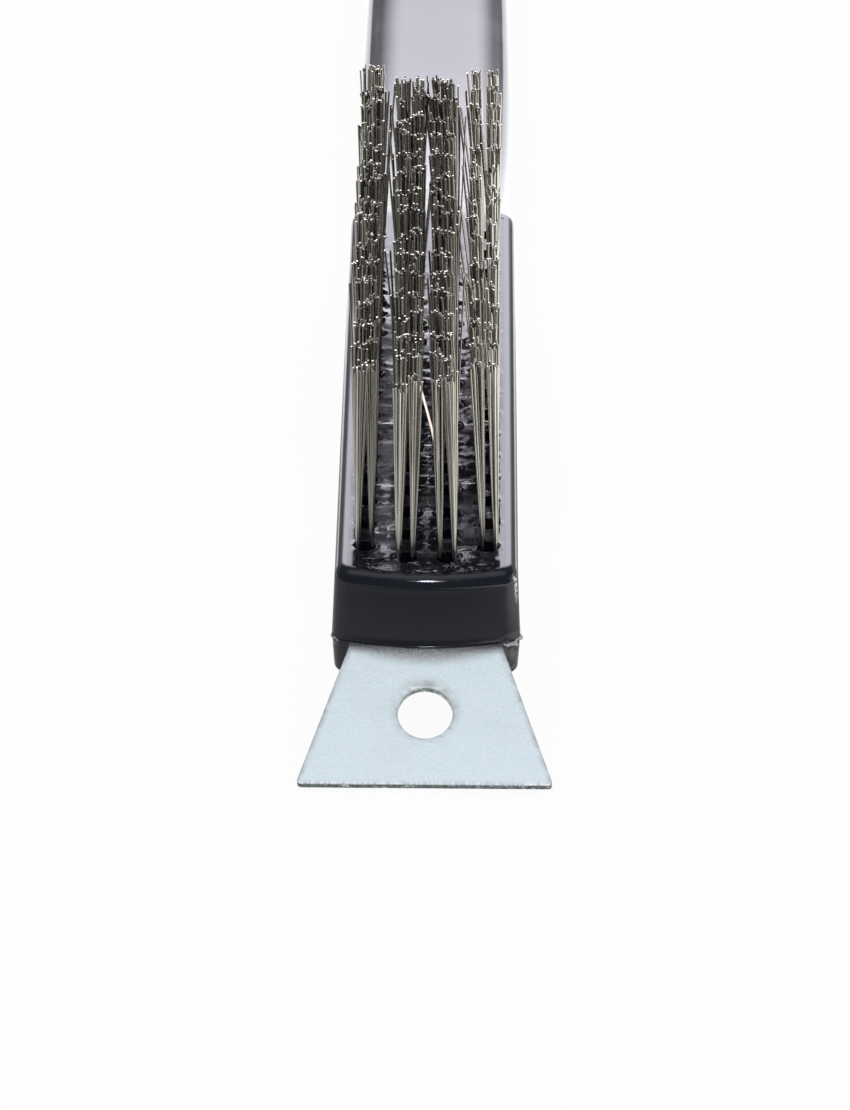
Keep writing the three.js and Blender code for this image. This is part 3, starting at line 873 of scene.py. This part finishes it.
def scraper():
    mesh = flat_plate()
    bend_plate(mesh)
    obj = new_object("scraper_plate", mesh)
    shade_by_angle(obj, 40)
    weighted = obj.modifiers.new("weighted_normals", "WEIGHTED_NORMAL")
    weighted.weight = 100
    weighted.keep_sharp = True
    apply_modifiers(obj)
    return obj


# ---- Materials ----


def glossy_black(s):
    """Shared look of the moulded surface: faint waves, drag marks and dust."""
    broad = s.noise(90, 3)
    fine = s.noise(1500, 4)
    dust = s.remap(s.noise(2600, 2), 0.70, 0.76)
    base = s.mix(broad, (0.0048, 0.0064, 0.0135), (0.0068, 0.0086, 0.0170))
    base = s.mix(s.times(dust, 0.16), base, (0.25, 0.25, 0.27))
    scratches = s.noise(700, 2, 0.5, 0.3, (1, 0.06, 1))
    roughness = s.remap(scratches, 0.35, 0.75, 0.07, 0.14)
    wave = s.bump(broad, 0.05, 0.0005)
    return base, roughness, s.bump(fine, 0.05, 0.00005, wave)


def plastic_material():
    """Glossy black, paler and rougher where it is torn, with a painted highlight streak down one corner.
    """
    s = Shader("black_plastic")
    base, roughness, normal = glossy_black(s)
    flash = s.attribute("flash")
    corner_highlight = s.attribute("corner_highlight")
    torn = s.noise(1100, 5, 0.7, 1.2)
    torn_mask = s.times(flash, s.remap(torn, 0.42, 0.66))
    base = s.mix(s.times(torn_mask, 0.85), base, (0.24, 0.235, 0.25))
    # Painted highlight: a broken white streak down the toe's right corner.
    broken_highlight = s.times(corner_highlight, s.remap(s.noise(1900, 3), 0.42, 0.56))
    base = s.mix(s.times(broken_highlight, 1.4), base, (0.95, 0.95, 0.97))
    roughness = s.math("ADD", roughness, s.times(flash, 0.25))
    ragged = s.bump(s.times(torn, flash), 0.8, 0.0010, normal)
    return s.finish(Base_Color=base, Roughness=roughness, IOR=1.52, Normal=ragged)


def flash_material():
    s = Shader("torn_flash")
    torn = s.noise(1700, 4, 0.65, 0.8)
    base = s.mix(s.remap(torn, 0.36, 0.54), (0.03, 0.03, 0.035), (0.88, 0.87, 0.88))
    roughness = s.remap(torn, 0.3, 0.7, 0.2, 0.5)
    return s.finish(Base_Color=base, Roughness=roughness, Normal=s.bump(torn, 0.6, 0.0002))


def face_material():
    """The drilled plastic: swirled, with thin bright smears, rust stains, haze and patches of painted
    shade that reflect less.
    """
    s = Shader("drilled_plastic")
    base, roughness, normal = glossy_black(s)
    field = s.attribute("torn")
    swirl = s.noise(260, 3, 0.5, 0.8, (0.45, 1, 1))
    fine = s.noise(1500, 3, 0.6, 0.8)
    curls = s.noise(520, 3, 0.6, 2.6)
    ridge = s.math("ABSOLUTE", s.math("SUBTRACT", curls, 0.5))
    smear = s.remap(ridge, 0, 0.010, 1, 0)
    patches = s.remap(s.noise(170, 2), 0.56, 0.66)
    smear = s.times(s.times(smear, patches), field)
    painted_shade_zone = s.attribute("painted_shade_zone")
    smear = s.times(smear, s.math("SUBTRACT", 1, painted_shade_zone))
    rust = s.times(s.remap(s.noise(240, 3, 0.6, 0.8), 0.58, 0.72), field)
    base = s.mix(rust, base, (0.045, 0.022, 0.020))
    haze = s.times(s.attribute("haze"), s.remap(swirl, 0.38, 0.62))
    base = s.mix(haze, base, (0.27, 0.26, 0.29))
    base = s.mix(s.times(smear, 0.9), base, (0.42, 0.41, 0.45))
    roughness = s.math("ADD", roughness, s.times(s.attribute("dull"), 0.36))
    broad = s.bump(s.times(swirl, field), 0.4, 0.00016, normal)
    detail = s.bump(s.times(fine, field), 0.10, 0.00003, broad)
    raised = s.bump(smear, 0.5, 0.0002, detail)
    # Painted shade: in these zones the face reflects almost nothing.
    specular = s.remap(painted_shade_zone, 0, 1, 0.5, 0.03)
    return s.finish(
        Base_Color=base, Roughness=roughness, IOR=1.48, Specular_IOR_Level=specular, Normal=raised
    )


def zinc_material():
    s = Shader("zinc_plated_steel")
    mottle = s.noise(2100, 5, 0.7)
    cloud = s.noise(70, 3, 0.5, 0.4)
    grain = s.noise(3800, 3, 0.6)
    streaks = s.noise(1500, 3, 0.6, 0, (0.25, 1, 1))
    x, y, _ = s.separate(s.position)
    base = s.mix(s.remap(mottle, 0.36, 0.64), (0.72, 0.84, 0.885), (0.91, 1, 1))
    base = s.mix(s.times(s.remap(streaks, 0.5, 0.7), 0.3), base, (0.95, 0.99, 1))
    base = s.mix(s.times(s.remap(cloud, 0.5, 0.72), 0.11), base, (0.66, 0.63, 0.62))

    # Painted shadow, grainy, where it leaves the plastic under the toe.
    bow = s.times(s.times(x, x), TOE_BOW / TOE_BOW_X**2 / MM)
    past_toe = s.math("SUBTRACT", y, s.math("ADD", bow, TOE_Y * MM))
    past_toe = s.math("ADD", past_toe, s.times(s.math("SUBTRACT", mottle, 0.5), 0.0018))
    near_bend = s.remap(past_toe, -0.0030, -0.0006, smooth=True)
    painted_toe_shadow = s.times(near_bend, s.remap(grain, 0.36, 0.56, 0.55, 0.85))
    base = s.mix(painted_toe_shadow, base, (0.20, 0.165, 0.15))

    # Browner and duller along the sheared sides and round the hole.
    along = s.remap(y, (TOE_Y - 1) * MM, SCRAPER_LOW[1] * MM)
    half = s.remap(along, 0, 1, (NECK_HALF + 0.5) * MM, EDGE_HALF * MM)
    from_side = s.math("SUBTRACT", half, s.math("ABSOLUTE", x))
    hole_y = plate_line(HOLE_FROM_BEND)[0] * MM
    across = s.math("SUBTRACT", y, hole_y)
    across = s.times(across, 1 / math.cos(BLADE_TILT))
    from_hole = s.math("SQRT", s.math("ADD", s.times(across, across), s.times(x, x)))
    from_hole = s.math("SUBTRACT", from_hole, BLADE_HOLE_RADIUS * MM)
    dull = s.math("MAXIMUM", s.remap(from_side, 0.0009, 0), s.remap(from_hole, 0.0016, 0, 0, 0.8))
    dull = s.times(dull, s.remap(s.noise(420, 4, 0.65), 0.35, 0.65, 0.1, 0.75))
    base = s.mix(dull, base, (0.36, 0.31, 0.28))

    # Short burrs drawn over the outer edge by the shears; their white dashes are a painted highlight.
    from_edge = s.math("SUBTRACT", y, SCRAPER_LOW[1] * MM)
    drawn = s.noise(2200, 2, 0.5, 0, (1, 0.15, 0.15))
    burr_painted_highlight = s.times(s.remap(drawn, 0.46, 0.54), s.remap(from_edge, 0.00040, 0.00022))
    drawn_dark = s.times(s.remap(drawn, 0.52, 0.42), s.remap(from_edge, 0.0008, 0.0002, 0, 0.3))
    base = s.mix(drawn_dark, base, (0.35, 0.33, 0.32))
    base = s.mix(burr_painted_highlight, base, (1, 1, 1))

    roughness = s.remap(mottle, 0.3, 0.7, 0.42, 0.54)
    bumps = s.bump(mottle, 0.16, 0.00010)
    bumps = s.bump(grain, 0.2, 0.00005, bumps)
    return s.finish(Base_Color=base, Metallic=0.85, Roughness=roughness, Normal=bumps)


def sheared_material():
    s = Shader("sheared_edge")
    streaks = s.noise(1900, 3, 0.6, 0, (1, 0.25, 0.25))
    blotches = s.noise(900, 4, 0.65, 0.6)
    base = s.mix(s.remap(streaks, 0.35, 0.7), (0.10, 0.13, 0.14), (0.29, 0.335, 0.34))
    base = s.mix(s.remap(blotches, 0.57, 0.65), base, (0.85, 0.88, 0.88))
    base = s.mix(s.remap(blotches, 0.44, 0.36), base, (0.05, 0.035, 0.03))
    bumps = s.bump(streaks, 0.8, 0.0003)
    return s.finish(Base_Color=base, Metallic=0.8, Roughness=0.4, Normal=bumps)


def wire_material():
    s = Shader("bristle_wire")
    painted_shade_and_tone = s.attribute("painted_shade_and_tone")
    draw_marks = s.noise(900, 3, 0.6, 0, (1, 1, 0.12))
    # The wires' tone carries painted shade and painted light as well as random tone.
    base = s.mix(painted_shade_and_tone, (0.17, 0.155, 0.135), (0.86, 0.835, 0.77))
    base = s.mix(s.remap(draw_marks, 0.45, 0.75, 0, 0.4), base, (0.20, 0.185, 0.155))
    roughness = s.remap(draw_marks, 0.3, 0.7, 0.16, 0.28)
    bumps = s.bump(draw_marks, 0.08, 0.00003)
    return s.finish(Base_Color=base, Metallic=1, Roughness=roughness, Normal=bumps)


def stray_glint_material():
    s = Shader("stray_wire_painted_glint")
    marks = s.noise(1100, 3, 0.6, 0, (1, 1, 0.15))
    # Painted glint: the wire glows by its own emission and gets a painted orange rim where it turns away
    # from the lens.
    facing = s.node("ShaderNodeLayerWeight").outputs["Facing"]
    base = s.mix(s.remap(marks, 0.4, 0.7), (1, 0.96, 0.92), (1, 0.86, 0.76))
    base = s.mix(s.remap(facing, 0.35, 0.8), base, (0.95, 0.50, 0.28))
    roughness = s.remap(marks, 0.3, 0.7, 0.2, 0.35)
    return s.finish(Base_Color=base, Roughness=roughness, Emission_Color=base, Emission_Strength=0.7)


def cut_material():
    s = Shader("cut_wire_end")
    specks = s.noise(2500, 2)
    base = s.mix(s.remap(specks, 0.42, 0.56), (0.45, 0.40, 0.33), (0.95, 0.88, 0.77))
    return s.finish(Base_Color=base, Metallic=0.9, Roughness=s.remap(specks, 0.3, 0.7, 0.16, 0.34))


def anchor_material():
    s = Shader("anchor_steel")
    marks = s.noise(1600, 3)
    base = s.mix(marks, (0.36, 0.36, 0.35), (0.55, 0.55, 0.53))
    roughness = s.remap(marks, 0.3, 0.7, 0.3, 0.5)
    bumps = s.bump(marks, 0.2, 0.0001)
    return s.finish(Base_Color=base, Metallic=1, Roughness=roughness, Normal=bumps)


def floor_material():
    """A pale floor that the lens sees evenly lit but for a painted contact shadow near the brush, and the
    brush sees brighter towards the back.
    """
    s = Shader("pale_floor")
    mottle = s.noise(14, 2)
    # Painted contact shadow: the pale floor greys a little where ambient occlusion finds the brush near.
    painted_contact_shadow = s.node("ShaderNodeAmbientOcclusion", {"Distance": 0.03}, samples=4)
    pale = s.mix(mottle, (0.985, 0.985, 0.985), (1, 1, 1))
    pale = s.mix(s.remap(painted_contact_shadow.outputs["AO"], 0.2, 0.9), (0.955, 0.955, 0.96), pale)
    x, y, _ = s.separate(s.position)
    far_front = s.remap(y, -0.11, -0.20, smooth=True)
    bounced = s.mix(far_front, (0.58, 0.58, 0.58), (0.22, 0.225, 0.235))
    bounced = s.mix(s.remap(x, -0.04, -0.12, smooth=True), bounced, (0.60, 0.60, 0.60))
    bounced = s.mix(s.remap(x, 0.046, 0.090, smooth=True), bounced, (1.55, 1.52, 1.46))
    bounced = s.mix(s.remap(y, 0.06, 0.14, smooth=True), bounced, (2.15, 2.2, 2.25))
    beside = s.remap(s.math("ABSOLUTE", x), 0.026, 0.017, smooth=True)
    beside = s.times(beside, s.remap(y, -0.078, -0.070))
    bounced = s.mix(beside, bounced, (1.5, 1.5, 1.5))
    surface = s.seen_or_reflected("ShaderNodeEmission", pale, bounced)
    s.put(s.tree.nodes["Material Output"].inputs["Surface"], surface)
    return s.material


# ---- Light and camera ----

LAMP_TARGET = Vector((0, -0.06, 0))
FLOOR_HALF_SIZE = 3000.0
# The smooth grip reaches a little lower than the faceted one.
FLOOR_DROP = 0.17
CAMERA_AZIMUTH = math.radians(-0.34)
CAMERA_ELEVATION = math.radians(27.0)
CAMERA_ROLL = math.radians(0.296)
CAMERA_LENS_MM = 207.8
# The toe's place in the camera's view: right, up and away.
CAMERA_SHIFT = Vector((0.191, -3.685, 1010.5))


def world_light():
    """A dim room with a pale ceiling, soft cards low at both sides, and a tall bright panel behind."""
    world = bpy.data.worlds.new("studio")
    bpy.context.scene.world = world
    world.use_nodes = True
    world.node_tree.nodes.clear()
    w = Nodes(world.node_tree)

    def ramp(value, low, high):
        return w.remap(value, math.radians(low), math.radians(high), smooth=True)

    def panel(azimuths, elevations, soft):
        covered = 1.0
        for angle, (low, high) in ((azimuth, azimuths), (elevation, elevations)):
            inside = w.times(ramp(angle, low - soft, low + soft), ramp(angle, high + soft, high - soft))
            covered = w.times(covered, inside)
        return covered

    x, y, z = w.separate(w.node("ShaderNodeTexCoord").outputs["Generated"])
    azimuth = w.math("ARCTAN2", x, y)
    elevation = w.math("ARCSINE", z)
    colour = w.mix(ramp(elevation, 55, 80), (0.20, 0.21, 0.23), (0.885, 0.935, 1.01))
    colour = w.mix(panel((-75, 75), (-25, 33), 8), colour, (0.42, 0.42, 0.46))
    colour = w.mix(panel((34, 115), (-25, 33), 8), colour, (0.95, 0.95, 0.98))
    colour = w.mix(panel((-19, 20), (-25, 10), 4), colour, (3.0, 3.0, 3.2))
    colour = w.mix(panel((-14.5, 16), (8, 35), 7), colour, (4.05, 4.0, 4.45))
    surface = w.seen_or_reflected("ShaderNodeBackground", (1, 1, 1), colour)
    w.node("ShaderNodeOutputWorld", {"Surface": surface})


def area_light(name, location, size, energy, colour=(1, 1, 1)):
    light = bpy.data.lights.new(name, "AREA")
    light.shape = "RECTANGLE"
    light.size, light.size_y = size
    light.energy = energy
    light.color = colour
    obj = new_object(name, light)
    obj.location = location
    aim = LAMP_TARGET - Vector(location)
    obj.rotation_euler = aim.to_track_quat("-Z", "Y").to_euler()


def camera():
    """A long lens that looks along the brush from above its toe."""
    sin_a, cos_a = math.sin(CAMERA_AZIMUTH), math.cos(CAMERA_AZIMUTH)
    sin_e, cos_e = math.sin(CAMERA_ELEVATION), math.cos(CAMERA_ELEVATION)
    forward = Vector((sin_a * cos_e, cos_a * cos_e, -sin_e))
    level = Vector((cos_a, -sin_a, 0))
    upward = level.cross(forward)
    right = math.cos(CAMERA_ROLL) * level + math.sin(CAMERA_ROLL) * upward
    up = -math.sin(CAMERA_ROLL) * level + math.cos(CAMERA_ROLL) * upward
    target = Vector((0, TOE_Y + TOE_DRAFT, BLOCK_THICKNESS))
    eye = target - CAMERA_SHIFT.x * right - CAMERA_SHIFT.y * up - CAMERA_SHIFT.z * forward
    data = bpy.data.cameras.new("camera")
    data.lens = CAMERA_LENS_MM
    data.sensor_width = 36.0
    data.clip_start, data.clip_end = 0.05, 30.0
    obj = new_object("camera", data)
    basis = Matrix((right, up, -forward)).transposed().to_4x4()
    obj.matrix_world = Matrix.Translation(eye * MM) @ basis
    bpy.context.scene.camera = obj


def floor():
    half, z = FLOOR_HALF_SIZE, HANDLE_LOW[2] - FLOOR_DROP
    corners = [(-half, -half, z), (half, -half, z), (half, half, z), (-half, half, z)]
    obj = mesh_object("floor", corners, [(0, 1, 2, 3)], smooth=False)
    obj.data.materials.append(floor_material())


# ---- Assembly ----


def place(piece, node, slot, *materials):
    """Puts a piece on the frame in a CAD node's place."""
    for material in materials:
        piece.data.materials.append(material)
    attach(piece, "root")
    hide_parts(node)


body = handle_body()
coordinates = np.zeros(len(body.data.vertices) * 3)
body.data.vertices.foreach_get("co", coordinates)
for name, amount in (("flash", flash_amount), ("corner_highlight", corner_highlight_amount)):
    add_attribute(body, name, amount(coordinates.reshape(-1, 3) / MM))
body.data.materials.clear()
place(body, "handle", "black_plastic", plastic_material())
place(drilled_face(), "handle", "black_plastic", face_material())
torn_plastic = flash_material()
for piece in (torn_flash(), drill_burrs()):
    place(piece, "handle", "black_plastic", torn_plastic)

place(scraper(), "scraper_blade", "zinc_plated_steel", zinc_material(), sheared_material())

wire, cut = wire_material(), cut_material()
for row in range(ROWS):
    tufts = bristle_row(row)
    place(tufts, f"bristle_row_{row + 1:02d}", "bristle_wire", wire, cut)
    mark_cut_ends(tufts)
place(bright_stray(), "bristle_row_02", "bristle_wire", stray_glint_material())

anchor_steel = anchor_material()
for column in range(1, COLUMNS + 1):
    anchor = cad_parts[f"anchor_column_{column}"]
    anchor.data.materials.clear()
    anchor.data.materials.append(anchor_steel)

world_light()
area_light("key", (0.0, -0.78, 1.0), (0.075, 0.12), 2.2)
area_light("key_blue_fringe", (0.0, -0.86, 0.93), (0.09, 0.05), 0.35, (0.25, 0.5, 1.0))
area_light("key_orange_fringe", (0.065, -0.79, 1.0), (0.04, 0.08), 0.25, (1.0, 0.5, 0.2))
floor()
camera()
bpy.context.scene.view_settings.view_transform = "Standard"
